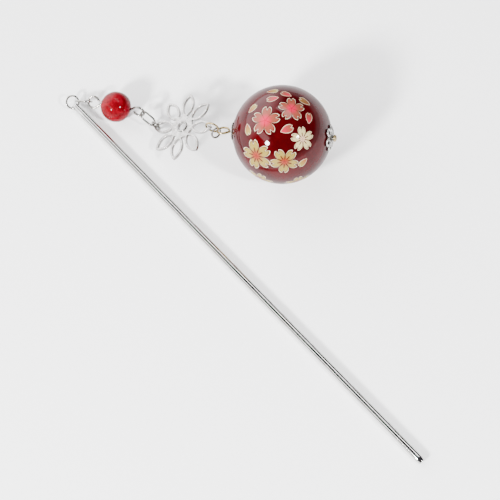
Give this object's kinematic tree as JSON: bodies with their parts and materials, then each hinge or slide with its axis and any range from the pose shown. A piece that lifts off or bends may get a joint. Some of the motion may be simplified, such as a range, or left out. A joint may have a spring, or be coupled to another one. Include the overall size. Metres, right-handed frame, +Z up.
{
  "type": "decorative hair pin",
  "caption": "Slim round metal hair stick with a dangling chain: a small red bead, an openwork metal flower and a large glossy ball with printed blossoms between metal bead caps.",
  "frame": {"origin": "on the stick's axis, where the round shaft leaves its flattened head", "axes": "+X along the shaft towards the tip, +Z up, with the piece lying on a table 1 mm below the axis; +Y towards the side where the chain lies"},
  "size_m": [0.1322, 0.0448, 0.025],
  "materials": {
    "polished_steel": "polished",
    "plated_wire": "polished",
    "plated_flower": "polished",
    "red_stone": "gloss, mottled red",
    "printed_ball": "gloss, deep red with printed blossoms",
    "plated_cap": "polished"
  },
  "bodies": {
    "stick": {"stick": "polished_steel"},
    "stick_ring": {"stick_ring": "plated_wire"},
    "drop_link": {"drop_link": "plated_wire"},
    "bead_pin": {"bead_pin": "plated_wire"},
    "red_bead": {"red_bead": "red_stone"},
    "chain_link": {"chain_link": "plated_wire"},
    "flower_ring": {"flower_ring": "plated_wire"},
    "flower": {"flower": "plated_flower"},
    "petal_ring": {"petal_ring": "plated_wire"},
    "hook_ring": {"hook_ring": "plated_wire"},
    "ball_pin": {"ball_pin": "plated_wire"},
    "inner_cap": {"inner_cap": "plated_cap"},
    "ball": {"ball": "printed_ball"},
    "outer_cap": {"outer_cap": "plated_cap"}
  },
  "joints": [
    {"name": "stick_ring_swing", "type": "hinge", "parent": "stick", "child": "stick_ring", "pos_m": [-0.00315, 0, 0], "axis": [0, 1, 0], "range_deg": [-90, 60]},
    {"name": "drop_link_swing", "type": "hinge", "parent": "stick_ring", "child": "drop_link", "pos_m": [-0.00387, 0.00145, 0.00047], "axis": [-0.737, 0.4772, 0.4786], "range_deg": [-85, 120]},
    {"name": "bead_pin_swing", "type": "hinge", "parent": "drop_link", "child": "bead_pin", "pos_m": [-0.00086, 0.0033, 0.00208], "axis": [-0.0285, -0.6302, 0.7759], "range_deg": [-15, 100]},
    {"name": "chain_link_swing", "type": "hinge", "parent": "bead_pin", "child": "chain_link", "pos_m": [0.01184, 0.01072, 0.00311], "axis": [0.3361, 0.3889, 0.8578], "range_deg": [-110, 90]},
    {"name": "flower_ring_swing", "type": "hinge", "parent": "chain_link", "child": "flower_ring", "pos_m": [0.01501, 0.01169, 0.00119], "axis": [-0.4697, 0.8002, -0.3728], "range_deg": [-85, 100]},
    {"name": "flower_swing", "type": "hinge", "parent": "flower_ring", "child": "flower", "pos_m": [0.0166, 0.01189, 0.00139], "axis": [-0.5074, -0.0895, 0.8571], "range_deg": [-35, 40]},
    {"name": "petal_ring_swing", "type": "hinge", "parent": "flower", "child": "petal_ring", "pos_m": [0.02908, 0.01896, 0.00967], "axis": [-0.5575, 0.8178, 0.1429], "range_deg": [-100, 30]},
    {"name": "hook_ring_swing", "type": "hinge", "parent": "petal_ring", "child": "hook_ring", "pos_m": [0.03027, 0.01946, 0.00835], "axis": [0.7619, 0.4629, 0.4531], "range_deg": [-70, 70]},
    {"name": "ball_pin_swing", "type": "hinge", "parent": "hook_ring", "child": "ball_pin", "pos_m": [0.03061, 0.0209, 0.00764], "axis": [-0.4157, 0.0941, 0.9046], "range_deg": [-5, 80]},
    {"name": "red_bead_spin", "type": "hinge", "parent": "bead_pin", "child": "red_bead", "pos_m": [0.00523, 0.00696, 0.003], "axis": [0.85, 0.5107, 0.1288], "continuous": true},
    {"name": "inner_cap_spin", "type": "hinge", "parent": "ball_pin", "child": "inner_cap", "pos_m": [0.04365, 0.03038, 0.01148], "axis": [0.787, 0.5718, 0.2317], "continuous": true},
    {"name": "ball_spin", "type": "hinge", "parent": "ball_pin", "child": "ball", "pos_m": [0.04365, 0.03038, 0.01148], "axis": [0.787, 0.5718, 0.2317], "continuous": true},
    {"name": "outer_cap_spin", "type": "hinge", "parent": "ball_pin", "child": "outer_cap", "pos_m": [0.04365, 0.03038, 0.01148], "axis": [0.787, 0.5718, 0.2317], "continuous": true}
  ]
}
